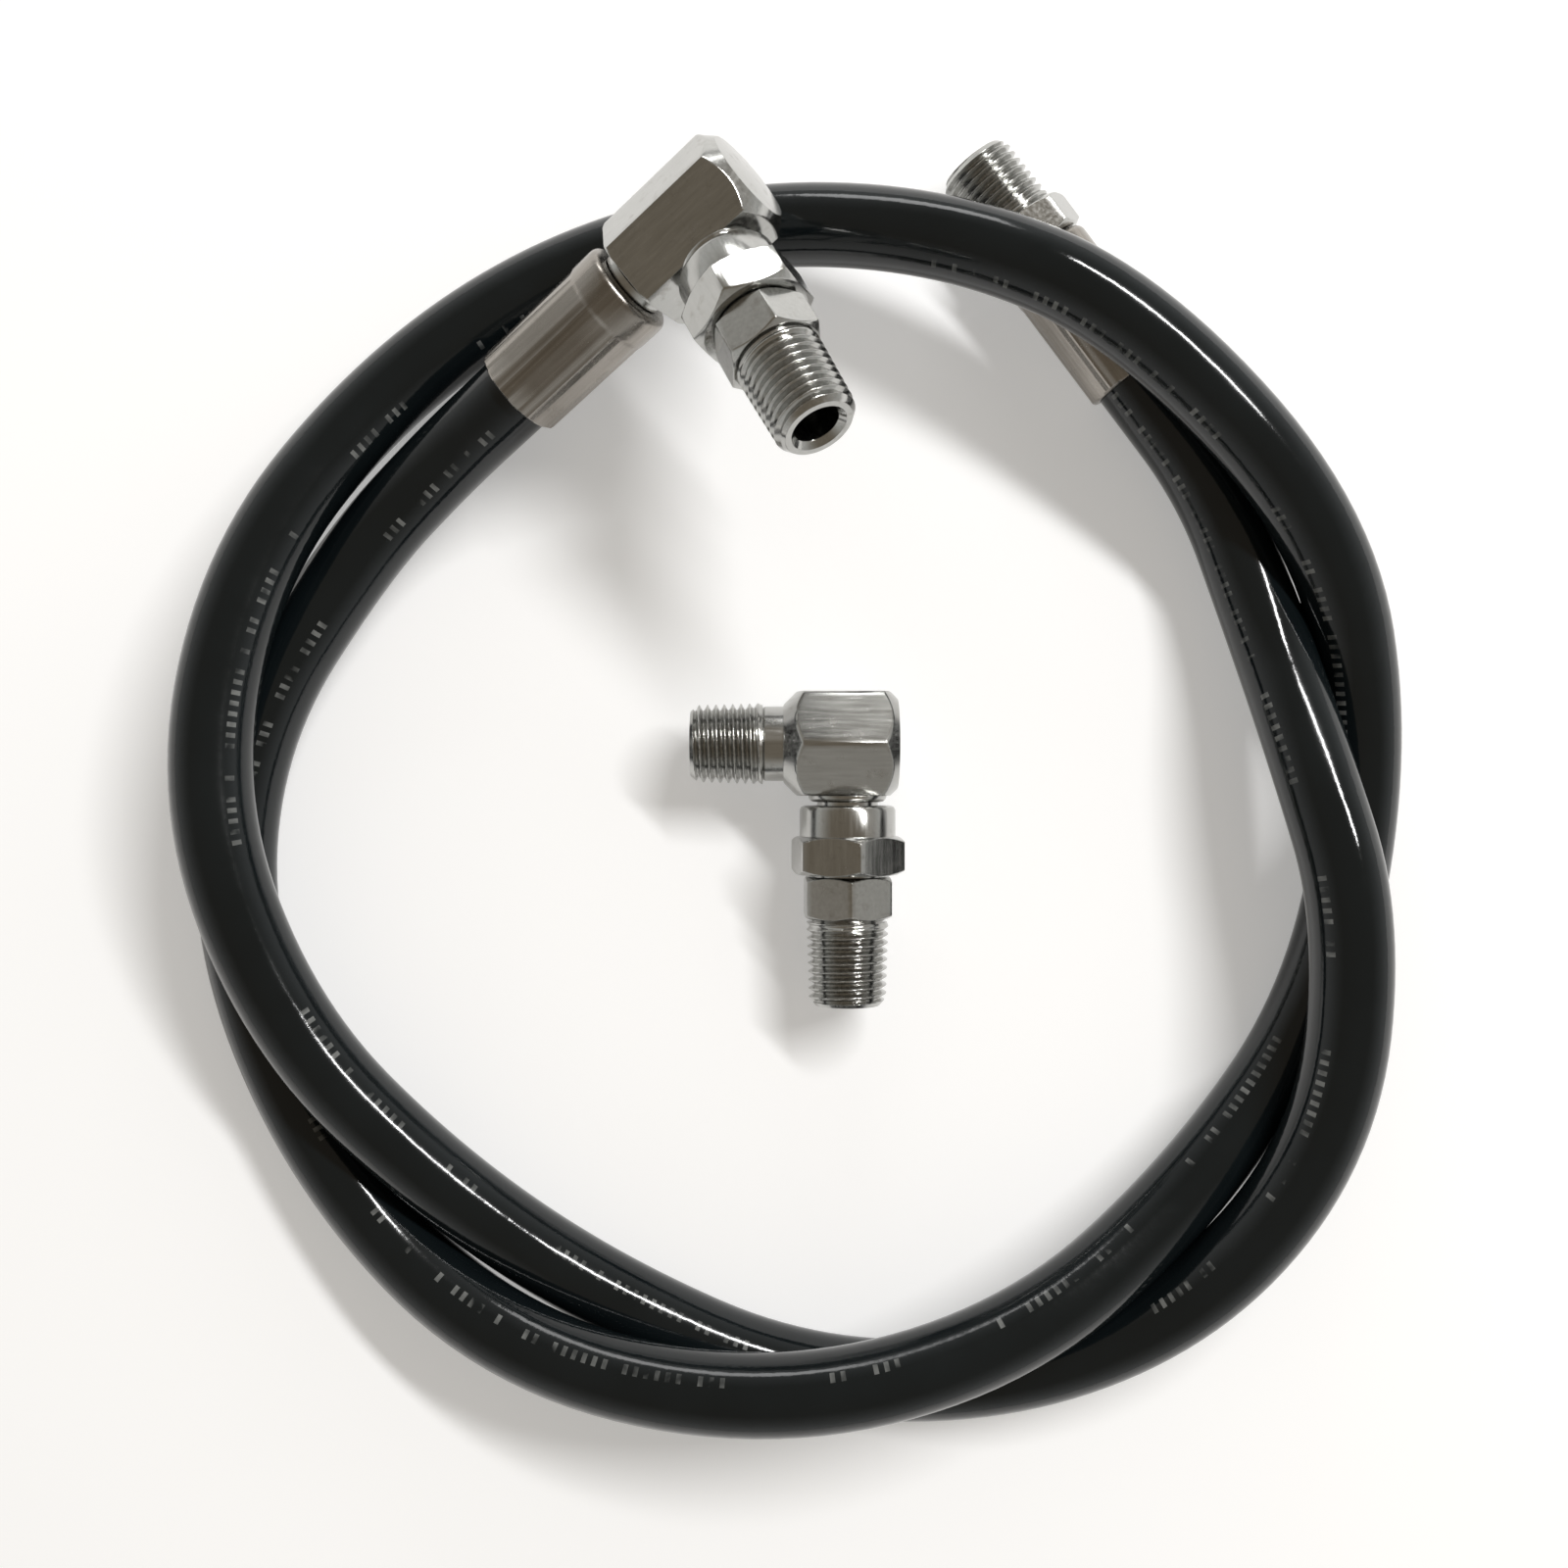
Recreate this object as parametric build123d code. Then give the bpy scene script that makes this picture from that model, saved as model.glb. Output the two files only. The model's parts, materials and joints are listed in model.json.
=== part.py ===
from build123d import *
from math import cos, radians, sin, sqrt, tan
import os

os.makedirs("parts", exist_ok=True)

# Hydraulic hose assembly lying coiled on a bench, with a loose swivel elbow adapter inside the coil.
# Millimetres, +Z up, the bench is z = 0, and the origin is under the middle of the whole part.

# Hose, nominal bore 1/4 inch with one steel wire braid. The layers are LAYER_GAP apart.
HOSE_D = 13.4
BRAID_D = 11.1
BRAID_WALL = 0.7
BORE_D = 6.4
LAYER_GAP = 0.05

# Route of the hose from the mouth of the elbow's ferrule to the mouth of the straight one.
# It lies on the bench, climbs over itself three times and over the straight ferrule once.
ELBOW_MOUTH = (-45.9, 64.5, 16.9)
STRAIGHT_MOUTH = (56.9, 68.9, 8.1)
ROUTE = [
    ELBOW_MOUTH,
    (-60.0, 53.8, 10.1),
    (-74.8, 39.2, 6.7),
    (-94.1, 8.9, 6.7),
    (-96.9, -26.9, 6.7),
    (-80.2, -66.0, 6.7),
    (-48.8, -94.1, 15.4),
    (-4.7, -101.6, 22.2),
    (36.7, -91.1, 20.8),
    (67.7, -67.5, 9.6),
    (90.5, -36.0, 6.7),
    (97.6, 6.8, 6.7),
    (87.7, 42.3, 18.4),
    (54.2, 75.5, 25.8),
    (24.9, 89.2, 22.1),
    (-9.3, 93.9, 12.9),
    (-42.4, 85.7, 9.0),
    (-70.5, 66.3, 8.9),
    (-91.5, 35.7, 17.5),
    (-97.5, -3.0, 21.7),
    (-84.4, -40.0, 18.6),
    (-60.2, -66.3, 13.7),
    (-32.8, -87.2, 6.7),
    (1.3, -102.1, 6.7),
    (38.6, -101.7, 6.7),
    (69.0, -85.6, 13.3),
    (87.9, -57.1, 20.1),
    (90.7, -22.1, 22.1),
    (83.6, 5.1, 18.5),
    (78.2, 28.6, 9.3),
    (70.7, 50.5, 8.1),
    STRAIGHT_MOUTH,
]
RUN_SHARE = 0.45

# How far the elbow's outlet is turned about the ferrule's axis, from straight up
OUTLET_ROLL = 64.4

# Ferrules, crimped in a press with eight jaws
FERRULE_D = 16.2
FERRULE_BORE = HOSE_D + 2 * LAYER_GAP
FERRULE_LENGTH = 26.0
CRIMP_LENGTH = 20.5
CRIMP_FLATS = 15.9
LIP_LENGTH = 2.4
LIP_BORE = 9.3
MOUTH_EDGE = 0.5
LIP_EDGE = 1.2
HOSE_INSERT = 22.5

# Stems, pushed into the hose. Lengths count from the mouth of the ferrule.
STEM_START = 2.0
STEM_R = 3.1
STEM_BORE = 2.35
BARB_HEIGHT = 0.25
BARBS = 5
BARBS_END = 21.5
GROOVE_R = 4.55
GROOVE_PLAY = 0.2
GROOVE_WALL = 0.6
COLLAR_R = 5.6
STEM_BRAZE = 1.0
STEM_BRAZE_R = 6.3
SPIGOT_R = 4.4
SPIGOT_LENGTH = 4.4

# Elbow bodies are lengths of hexagonal bar. Lengths count from the crossing of the two passages.
BAR_FLATS = 17.46
BAR_CONE = 45
BAR_END_R = 7.6
PASSAGE_R = 3.0
ELBOW_BACK = 12.2
ELBOW_BACK_R = 9.6
ELBOW_FRONT = 10.7
MOUTH_TO_CROSSING = 40.6

# Swivel outlet, the same on the hose's elbow and on the adapter. Heights count from the crossing.
SOCKET_DEPTH = 3.6
TAIL_ROOT_R = 4.6
TAIL_R = 5.15
TAIL_TOP = 17.6
NOSE_LENGTH = 2.0
NOSE_R = 4.05
BRAZE_R = 6.6
BRAZE_TOP_R = 6.3
BRAZE_HEIGHT = 1.1
NUT_FLATS = 17.46
NUT_CONE = 30
NUT_START = 10.4
NUT_SHOULDER_R = 8.1
NUT_HEX_START = 15.6
NUT_END = 22.0
NUT_END_R = 8.6
NUT_LIP_R = 5.3
NUT_LIP_LENGTH = 4.6
NUT_EDGE = 0.8
WIRE_R = 0.6
WIRE_PLAY = 0.1
WIRE_HEIGHT = 12.8
WIRE_RING_R = 5.22
SEAT_GAP = 0.9
SEAT_DEPTH = 2.8
SEAT_R = 5.35
NIPPLE_FLATS = 14.29
NIPPLE_END_R = 7.0
NIPPLE_HEX_START = 22.4
NIPPLE_NECK_LENGTH = 0.8
NIPPLE_HEX_END = 29.4
OUTLET_TIP = 44.0

# Taper pipe threads of size 1/4-18, at their outside radius where they pull up tight
THREAD_R = 6.7
THREAD_RELIEF_R = 5.9
RELIEF_LENGTH = 1.0
THREAD_CHAMFER = 1.0
NIPPLE_BORE = 3.6
MOUTH_CHAMFER = 0.9

# Straight end
STRAIGHT_FLATS = 15.88
STRAIGHT_END_R = 7.6
STRAIGHT_HEX_START = 26.3
STRAIGHT_HEX_END = 32.6
STRAIGHT_TIP = 45.4

# Loose adapter: its crossing lies over this point, and its outlet points along -Y, a little down
ADAPTER_X = 8.4
ADAPTER_Y = 6.6
ADAPTER_TILT = 0.45
ADAPTER_BACK = 10.8
ADAPTER_BACK_R = 6.6
ADAPTER_FRONT = 8.4
ADAPTER_NECK_R = 6.3
ADAPTER_NECK_LENGTH = 2.5
ADAPTER_THREAD_LENGTH = 13.1

# How far the loose pieces of each swivel outlet are turned about it
ELBOW_NUT_TURN = -6.0
ELBOW_NIPPLE_TURN = 25.0
ADAPTER_NUT_TURN = -10.5
ADAPTER_NIPPLE_TURN = -3.0


def turned(*outline):
    """A piece turned about Z from its outline of (radius, height) points."""
    return revolve(make_face(Plane.XZ * Polyline(*outline, close=True)), Axis.Z)


def rod(radius, bottom, top):
    return turned((0, bottom), (radius, bottom), (radius, top), (0, top))


def hexagon(flats, bottom, top, bottom_r, top_r, cone):
    """A hexagonal bar along Z with a flat facing +X, its corners turned off to a cone at each end."""
    corner_r = flats / sqrt(3)
    outline = RegularPolygon(flats / 2, 6, major_radius=False, rotation=30)
    bar = Pos(0, 0, bottom) * extrude(outline, top - bottom)
    bottom_cone = (corner_r - bottom_r) * tan(radians(cone))
    top_cone = (corner_r - top_r) * tan(radians(cone))
    envelope = turned(
        (0, bottom),
        (bottom_r, bottom),
        (corner_r, bottom + bottom_cone),
        (corner_r, top - top_cone),
        (top_r, top),
        (0, top),
    )
    return bar & envelope


def sideways(shape, height=0.0):
    """The shape turned so that its Z points along X, moved to a height on Z."""
    return Pos(0, 0, height) * Rot(0, 90, 0) * shape


# --- hose ---------------------------------------------------------------------------------------


def corner_radii():
    """The largest arc that fits at each point of the route, from its two runs and its turn."""
    points = [Vector(*point) for point in ROUTE]
    radii = []
    for before, point, after in zip(points, points[1:], points[2:]):
        run_in = point - before
        run_out = after - point
        half_turn = radians(run_in.get_angle(run_out)) / 2
        radii.append(RUN_SHARE * min(run_in.length, run_out.length) / tan(half_turn))
    return radii


def hose_layer(path, outer_d, inner_d):
    """One layer of the hose along the route, with its two straight ends inside the ferrules."""
    ring = Circle(outer_d / 2) - Circle(inner_d / 2)
    layer = sweep(Plane(path @ 0, z_dir=path % 0) * ring, path=path)
    layer += Plane(path @ 0, z_dir=-(path % 0)) * extrude(ring, HOSE_INSERT)
    layer += Plane(path @ 1, z_dir=path % 1) * extrude(ring, HOSE_INSERT)
    return layer


def hose(path):
    braid_bore = BRAID_D - 2 * BRAID_WALL
    return {
        "hose_cover": hose_layer(path, HOSE_D, BRAID_D + 2 * LAYER_GAP),
        "wire_braid": hose_layer(path, BRAID_D, braid_bore),
        "inner_tube": hose_layer(path, braid_bore - 2 * LAYER_GAP, BORE_D),
    }


# --- ferrules and stems, along Z from the mouth of the ferrule ------------------------------------


def ferrule():
    outer_r = FERRULE_D / 2
    bore_r = FERRULE_BORE / 2
    lip_start = FERRULE_LENGTH - LIP_LENGTH
    shell = turned(
        (bore_r, 0),
        (outer_r - MOUTH_EDGE, 0),
        (outer_r, MOUTH_EDGE),
        (outer_r, FERRULE_LENGTH - LIP_EDGE),
        (outer_r - LIP_EDGE, FERRULE_LENGTH),
        (LIP_BORE / 2, FERRULE_LENGTH),
        (LIP_BORE / 2, lip_start),
        (bore_r, lip_start),
    )
    jaws = extrude(RegularPolygon(CRIMP_FLATS / 2, 8, major_radius=False), CRIMP_LENGTH)
    collar = rod(outer_r, CRIMP_LENGTH, FERRULE_LENGTH)
    return shell & (jaws + collar)


def stem_outline():
    """Outside of a stem up to the groove that the ferrule's lip holds, with sawtooth barbs."""
    pitch = (BARBS_END - STEM_START) / BARBS
    outline = [(STEM_BORE, STEM_START)]
    for barb in range(BARBS):
        foot = STEM_START + barb * pitch
        outline += [(STEM_R - BARB_HEIGHT, foot), (STEM_R, foot + pitch)]
    groove_wall = FERRULE_LENGTH - LIP_LENGTH - GROOVE_PLAY - GROOVE_WALL
    outline += [
        (STEM_R, groove_wall),
        (GROOVE_R, groove_wall),
        (GROOVE_R, FERRULE_LENGTH + GROOVE_PLAY),
    ]
    return outline


def elbow_stem():
    bar_face = MOUTH_TO_CROSSING - ELBOW_BACK
    return turned(
        *stem_outline(),
        (COLLAR_R, FERRULE_LENGTH + GROOVE_PLAY),
        (COLLAR_R, bar_face - STEM_BRAZE),
        (SPIGOT_R, bar_face - STEM_BRAZE),
        (SPIGOT_R, bar_face + SPIGOT_LENGTH),
        (STEM_BORE, bar_face + SPIGOT_LENGTH),
    )


def stem_braze():
    """Ring of braze metal in the corner between the stem's collar and the end of the bar."""
    bar_face = MOUTH_TO_CROSSING - ELBOW_BACK
    return turned(
        (SPIGOT_R, bar_face - STEM_BRAZE),
        (COLLAR_R, bar_face - STEM_BRAZE),
        (STEM_BRAZE_R, bar_face),
        (SPIGOT_R, bar_face),
    )


def straight_fitting():
    """Stem, hexagon and pipe thread in one piece."""
    core = turned(
        *stem_outline(),
        (GROOVE_R, STRAIGHT_HEX_START + 1),
        (STEM_BORE, STRAIGHT_HEX_START + 1),
    )
    ends = (STRAIGHT_END_R, STRAIGHT_END_R)
    nut = hexagon(STRAIGHT_FLATS, STRAIGHT_HEX_START, STRAIGHT_HEX_END, *ends, NUT_CONE)
    thread = male_thread(STRAIGHT_HEX_END, STRAIGHT_TIP)
    solid = core + nut + thread
    narrow = rod(STEM_BORE, STEM_START - 1, STRAIGHT_HEX_START + 3)
    wide = rod(NIPPLE_BORE, STRAIGHT_HEX_START + 2, STRAIGHT_TIP + 1)
    return solid - narrow - wide - mouth(STRAIGHT_TIP)


# --- pipe threads ---------------------------------------------------------------------------------


def male_thread(root, tip):
    """The thread's outside, with a relief at its root and a chamfer at its tip."""
    return turned(
        (0, root),
        (THREAD_RELIEF_R, root),
        (THREAD_RELIEF_R, root + RELIEF_LENGTH / 2),
        (THREAD_R, root + RELIEF_LENGTH),
        (THREAD_R, tip - THREAD_CHAMFER),
        (THREAD_R - THREAD_CHAMFER, tip),
        (0, tip),
    )


def mouth(tip):
    """The cone at the open end of a thread's bore."""
    return turned(
        (0, tip - MOUTH_CHAMFER),
        (NIPPLE_BORE, tip - MOUTH_CHAMFER),
        (NIPPLE_BORE + MOUTH_CHAMFER, tip),
        (0, tip),
    )


# --- elbow bodies and swivel outlets, from the crossing, X along the bar and Z along the outlet ----


def bar_with_passages(back, front, back_r):
    """Hexagonal bar along X with a flat facing +Z, drilled from its back and from its top flat."""
    bar = sideways(hexagon(BAR_FLATS, -back, front, back_r, BAR_END_R, BAR_CONE))
    along = sideways(rod(PASSAGE_R, -back - 1, PASSAGE_R))
    up = rod(PASSAGE_R, 0, BAR_FLATS)
    socket = rod(TAIL_ROOT_R + LAYER_GAP, BAR_FLATS / 2 - SOCKET_DEPTH, BAR_FLATS)
    return bar - along - up - socket


def elbow_body():
    socket = sideways(rod(SPIGOT_R + LAYER_GAP, -ELBOW_BACK - 1, SPIGOT_LENGTH - ELBOW_BACK))
    return bar_with_passages(ELBOW_BACK, ELBOW_FRONT, ELBOW_BACK_R) - socket


def adapter_body():
    """The bar with its fixed pipe thread, in one piece."""
    root = ADAPTER_BACK + ADAPTER_NECK_LENGTH
    tip = root + ADAPTER_THREAD_LENGTH
    neck = rod(ADAPTER_NECK_R, ADAPTER_BACK - 2, root + RELIEF_LENGTH)
    stub = neck + male_thread(root, tip) - rod(PASSAGE_R, 0, tip + 1)
    bore = rod(NIPPLE_BORE, ADAPTER_BACK, tip + 1)
    stub = Rot(0, -90, 0) * (stub - bore - mouth(tip))
    return bar_with_passages(ADAPTER_BACK, ADAPTER_FRONT, ADAPTER_BACK_R) + stub


def tail():
    """Spigot brazed into the flat of the bar, with a groove for the wire and a conical nose."""
    flat = BAR_FLATS / 2
    groove = WIRE_R + WIRE_PLAY
    groove_r = WIRE_RING_R - WIRE_R - LAYER_GAP
    return turned(
        (PASSAGE_R, flat - SOCKET_DEPTH),
        (TAIL_ROOT_R, flat - SOCKET_DEPTH),
        (TAIL_ROOT_R, flat),
        (TAIL_R, flat),
        (TAIL_R, WIRE_HEIGHT - groove),
        (groove_r, WIRE_HEIGHT - groove),
        (groove_r, WIRE_HEIGHT + groove),
        (TAIL_R, WIRE_HEIGHT + groove),
        (TAIL_R, TAIL_TOP - NOSE_LENGTH),
        (NOSE_R, TAIL_TOP),
        (PASSAGE_R, TAIL_TOP),
    )


def tail_braze():
    """Ring of braze metal round the foot of the tail, on the flat of the bar."""
    flat = BAR_FLATS / 2
    inner_r = TAIL_R + LAYER_GAP
    return turned(
        (inner_r, flat),
        (BRAZE_R, flat),
        (BRAZE_TOP_R, flat + BRAZE_HEIGHT),
        (inner_r, flat + BRAZE_HEIGHT),
    )


def swivel_nut():
    """Nut with a round shoulder, which holds the wire, and a hexagon."""
    lip_top = NUT_START + NUT_LIP_LENGTH
    groove = WIRE_R + WIRE_PLAY
    groove_r = WIRE_RING_R + WIRE_R + LAYER_GAP
    hole = turned(
        (0, NUT_START - 1),
        (NUT_LIP_R, NUT_START - 1),
        (NUT_LIP_R, WIRE_HEIGHT - groove),
        (groove_r, WIRE_HEIGHT - groove),
        (groove_r, WIRE_HEIGHT + groove),
        (NUT_LIP_R, WIRE_HEIGHT + groove),
        (NUT_LIP_R, lip_top),
        (THREAD_R + LAYER_GAP, lip_top + NUT_EDGE),
        (THREAD_R + LAYER_GAP, NUT_END + 1),
        (0, NUT_END + 1),
    )
    shoulder = turned(
        (0, NUT_START),
        (NUT_SHOULDER_R - NUT_EDGE, NUT_START),
        (NUT_SHOULDER_R, NUT_START + NUT_EDGE),
        (NUT_SHOULDER_R, NUT_HEX_START + 1),
        (0, NUT_HEX_START + 1),
    )
    grip = hexagon(NUT_FLATS, NUT_HEX_START, NUT_END, NUT_END_R, NUT_END_R, NUT_CONE)
    return shoulder + grip - hole


def nut_wire():
    return Pos(0, 0, WIRE_HEIGHT) * Torus(WIRE_RING_R, WIRE_R)


def nipple():
    """Pipe nipple: one thread in the nut, seated on the tail's nose, a hexagon and the free thread."""
    seat = NUT_START + NUT_LIP_LENGTH + SEAT_GAP
    neck = NIPPLE_HEX_START - NIPPLE_NECK_LENGTH
    inner_thread = turned(
        (0, seat),
        (THREAD_R - THREAD_CHAMFER, seat),
        (THREAD_R, seat + THREAD_CHAMFER),
        (THREAD_R, neck),
        (THREAD_RELIEF_R, neck),
        (THREAD_RELIEF_R, NIPPLE_HEX_START + 1),
        (0, NIPPLE_HEX_START + 1),
    )
    ends = (NIPPLE_END_R, NIPPLE_END_R)
    nut = hexagon(NIPPLE_FLATS, NIPPLE_HEX_START, NIPPLE_HEX_END, *ends, NUT_CONE)
    seat_cone = turned(
        (0, seat - 1),
        (SEAT_R, seat - 1),
        (SEAT_R, seat),
        (NIPPLE_BORE, seat + SEAT_DEPTH),
        (0, seat + SEAT_DEPTH),
    )
    bore = rod(NIPPLE_BORE, seat + 2, OUTLET_TIP + 1)
    solid = inner_thread + nut + male_thread(NIPPLE_HEX_END, OUTLET_TIP)
    return solid - seat_cone - bore - mouth(OUTLET_TIP)


def swivel_outlet(name, nut_turn, nipple_turn):
    return {
        name + "_tail": tail(),
        name + "_tail_braze": tail_braze(),
        name + "_nut": Rot(0, 0, nut_turn) * swivel_nut(),
        name + "_nut_wire": nut_wire(),
        name + "_nipple": Rot(0, 0, nipple_turn) * nipple(),
    }


# --- where everything lies --------------------------------------------------------------------------


def elbow_planes():
    """The plane at the ferrule's mouth, Z along the ferrule, and the one at the crossing."""
    axis = (Vector(*ROUTE[0]) - Vector(*ROUTE[1])).normalized()
    left = Vector(0, 0, 1).cross(axis).normalized()
    over = axis.cross(left)
    outlet = over * cos(radians(OUTLET_ROLL)) - left * sin(radians(OUTLET_ROLL))
    mouth_plane = Plane(Vector(*ELBOW_MOUTH), x_dir=outlet, z_dir=axis)
    crossing = Vector(*ELBOW_MOUTH) + axis * MOUTH_TO_CROSSING
    return mouth_plane, Plane(crossing, x_dir=axis, z_dir=outlet)


def adapter_plane():
    """The adapter's crossing. It rests on a corner of its bar and on the edge of its nut."""
    height = BAR_FLATS / sqrt(3) * cos(radians(ADAPTER_TILT))
    outlet = Vector(0, -cos(radians(ADAPTER_TILT)), -sin(radians(ADAPTER_TILT)))
    return Plane((ADAPTER_X, ADAPTER_Y, height), x_dir=(1, 0, 0), z_dir=outlet)


def straight_plane():
    """The mouth of the straight ferrule, with X up so that a flat of the hexagon is underneath."""
    axis = Vector(*ROUTE[-1]) - Vector(*ROUTE[-2])
    return Plane(Vector(*STRAIGHT_MOUTH), x_dir=(0, 0, 1), z_dir=axis)


def build():
    radii = corner_radii()
    path = FilletPolyline(*ROUTE, radius=radii)
    print("route radii", [round(radius, 1) for radius in radii], "length", round(path.length, 1))
    nodes = hose(path)
    elbow_mouth, elbow_crossing = elbow_planes()
    straight_mouth = straight_plane()
    adapter_crossing = adapter_plane()
    nodes["elbow_ferrule"] = elbow_mouth * ferrule()
    nodes["elbow_stem"] = elbow_mouth * elbow_stem()
    nodes["elbow_stem_braze"] = elbow_mouth * stem_braze()
    nodes["elbow_body"] = elbow_crossing * elbow_body()
    for name, shape in swivel_outlet("elbow", ELBOW_NUT_TURN, ELBOW_NIPPLE_TURN).items():
        nodes[name] = elbow_crossing * shape
    nodes["straight_ferrule"] = straight_mouth * ferrule()
    nodes["straight_fitting"] = straight_mouth * straight_fitting()
    nodes["adapter_body"] = adapter_crossing * adapter_body()
    for name, shape in swivel_outlet("adapter", ADAPTER_NUT_TURN, ADAPTER_NIPPLE_TURN).items():
        nodes[name] = adapter_crossing * shape
    return nodes


for name, shape in build().items():
    shape.label = name
    export_step(shape, f"parts/{name}.step")
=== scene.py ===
import bpy
import json
from math import cos, exp, pi, radians, sin, sqrt, tan
from mathutils import Matrix, Vector

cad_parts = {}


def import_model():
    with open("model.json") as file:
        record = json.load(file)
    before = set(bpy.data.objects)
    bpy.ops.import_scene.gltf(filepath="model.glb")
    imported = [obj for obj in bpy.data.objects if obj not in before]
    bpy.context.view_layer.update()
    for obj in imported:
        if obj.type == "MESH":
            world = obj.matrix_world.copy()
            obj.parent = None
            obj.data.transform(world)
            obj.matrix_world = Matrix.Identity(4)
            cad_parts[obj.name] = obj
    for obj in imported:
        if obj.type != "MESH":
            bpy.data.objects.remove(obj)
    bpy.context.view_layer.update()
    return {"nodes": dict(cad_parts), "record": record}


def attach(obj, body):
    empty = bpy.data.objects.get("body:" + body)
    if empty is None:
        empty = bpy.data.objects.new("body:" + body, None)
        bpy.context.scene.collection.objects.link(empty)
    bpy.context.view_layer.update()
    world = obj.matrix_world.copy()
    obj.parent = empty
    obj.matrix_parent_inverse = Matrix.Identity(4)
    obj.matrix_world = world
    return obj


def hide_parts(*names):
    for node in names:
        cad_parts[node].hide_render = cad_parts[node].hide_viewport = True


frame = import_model()

MM = 0.001
MOUNTS = {mount["name"]: mount for mount in frame["record"]["mounts"]}

# Hose, as in the CAD. Its route runs from the mouth of the elbow's ferrule to that of the straight one.
ROUTE_MM = [
    (-45.9, 64.5, 16.9),
    (-60.0, 53.8, 10.1),
    (-74.8, 39.2, 6.7),
    (-94.1, 8.9, 6.7),
    (-96.9, -26.9, 6.7),
    (-80.2, -66.0, 6.7),
    (-48.8, -94.1, 15.4),
    (-4.7, -101.6, 22.2),
    (36.7, -91.1, 20.8),
    (67.7, -67.5, 9.6),
    (90.5, -36.0, 6.7),
    (97.6, 6.8, 6.7),
    (87.7, 42.3, 18.4),
    (54.2, 75.5, 25.8),
    (24.9, 89.2, 22.1),
    (-9.3, 93.9, 12.9),
    (-42.4, 85.7, 9.0),
    (-70.5, 66.3, 8.9),
    (-91.5, 35.7, 17.5),
    (-97.5, -3.0, 21.7),
    (-84.4, -40.0, 18.6),
    (-60.2, -66.3, 13.7),
    (-32.8, -87.2, 6.7),
    (1.3, -102.1, 6.7),
    (38.6, -101.7, 6.7),
    (69.0, -85.6, 13.3),
    (87.9, -57.1, 20.1),
    (90.7, -22.1, 22.1),
    (83.6, 5.1, 18.5),
    (78.2, 28.6, 9.3),
    (70.7, 50.5, 8.1),
    (56.9, 68.9, 8.1),
]
HOSE_INSERT = 22.4 * MM
HOSE_R = 6.7 * MM
BRAID_R = 5.55 * MM
TUBE_R = 4.8 * MM
BORE_R = 3.2 * MM
LAYER_GAP = 0.05 * MM

# Line of pale dashes on the hose: shares of a turn across it, and counts per metre along it
DASH_BAND = 0.90
DASH_HALF_HEIGHT = 0.019
DASH_DRIFT = 0.03
DASH_DRIFT_PACE = 9.0
DASHES = 560.0
DASH_LENGTH = 0.45
DASH_GROUPS = 70.0

# Wires of the braid: count round the hose, and per metre along it
BRAID_WIRES = 24.0
BRAID_PACE = 490.0

# Pipe threads of size 1/4-18, in millimetres as are all the measures below
PITCH = 1.411
THREAD_HEIGHT = 1.0
THREAD_TIP_R = 6.5
THREAD_TAPER = 1 / 32
THREAD_CHAMFER = 1.0
THREAD_CHAMFER_ANGLE = 50
THREAD_RINGS = 18
THREAD_START = 0.6
CREST_WIDTH = 0.09
FLANKS_WIDTH = 0.80
FLANK_EASE = 0.12
RUN_OUT_TURNS = 1.6
RUN_OUT_DEPTH = 0.25
RELIEF_R = 5.9
RELIEF_LENGTH = 0.5
RELIEF_FLARE = 0.3
RELIEF_END_FLARE = 0.1
NIPPLE_BORE = 3.6
PASSAGE_R = 3.0
PASSAGE_SHORT = 2.0
PASSAGE_TIP = 3.0
PASSAGE_TIP_R = 0.3
STEM_BORE = 2.35
MOUTH_CHAMFER = 0.9

# Swivel outlets. Heights count from the crossing of the elbow's passages.
OUTLET_TIP = 44.0
NUT_FLATS = 17.46
NUT_CONE = 30
NUT_START = 10.4
NUT_SHOULDER_R = 8.1
NUT_HEX_START = 15.6
NUT_END = 22.0
NUT_END_R = 8.6
NUT_LIP_R = 5.3
NUT_LIP_TOP = 15.0
NUT_EDGE = 0.8
NUT_EDGE_SHARE = 0.3
NUT_THREAD_R = 6.75
WIRE_HEIGHT = 12.8
WIRE_GROOVE = 0.7
WIRE_GROOVE_R = 5.87
TAIL_R = 5.15
BRAZE_R = 6.6
BRAZE_HEIGHT = 1.1
BRAZE_BULGE = 0.6
BRAZE_STEPS = 8
TAIL_PLAY = 0.05
NIPPLE_FLATS = 14.29
NIPPLE_END_R = 7.0
NIPPLE_THREAD = 14.6
NIPPLE_HEX = 7.0
NIPPLE_NECK = 0.8
NIPPLE_INNER = 5.7
NIPPLE_INNER_R = 6.7
SEAT_R = 5.35
SEAT_DEPTH = 2.8
ELBOW_NUT_TURN = -6.0
ELBOW_NIPPLE_TURN = 25.0
ADAPTER_NUT_TURN = -10.5
ADAPTER_NIPPLE_TURN = -3.0

# Hexagonal bars of the elbow and the adapter
BAR_FLATS = 17.46
BAR_CONE = 45
BAR_END_R = 7.6
BAR_DOME = 0.4
BAR_DOME_RINGS = (0.04, 0.3, 0.55, 0.8, 0.95)
SPIGOT_HOLE_R = 4.45
SPIGOT_LENGTH = 4.4
ELBOW_BACK = 12.2
ELBOW_BACK_R = 9.6
ELBOW_FRONT = 10.7
ADAPTER_BACK = 10.8
ADAPTER_BACK_R = 6.6
ADAPTER_FRONT = 8.4
ADAPTER_NECK = 2.5
ADAPTER_NECK_R = 6.3
ADAPTER_NECK_EDGE = 0.3
ADAPTER_THREAD = 13.1
ADAPTER_ROOT = 0.6
ADAPTER_THREAD_START = 1.0

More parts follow.
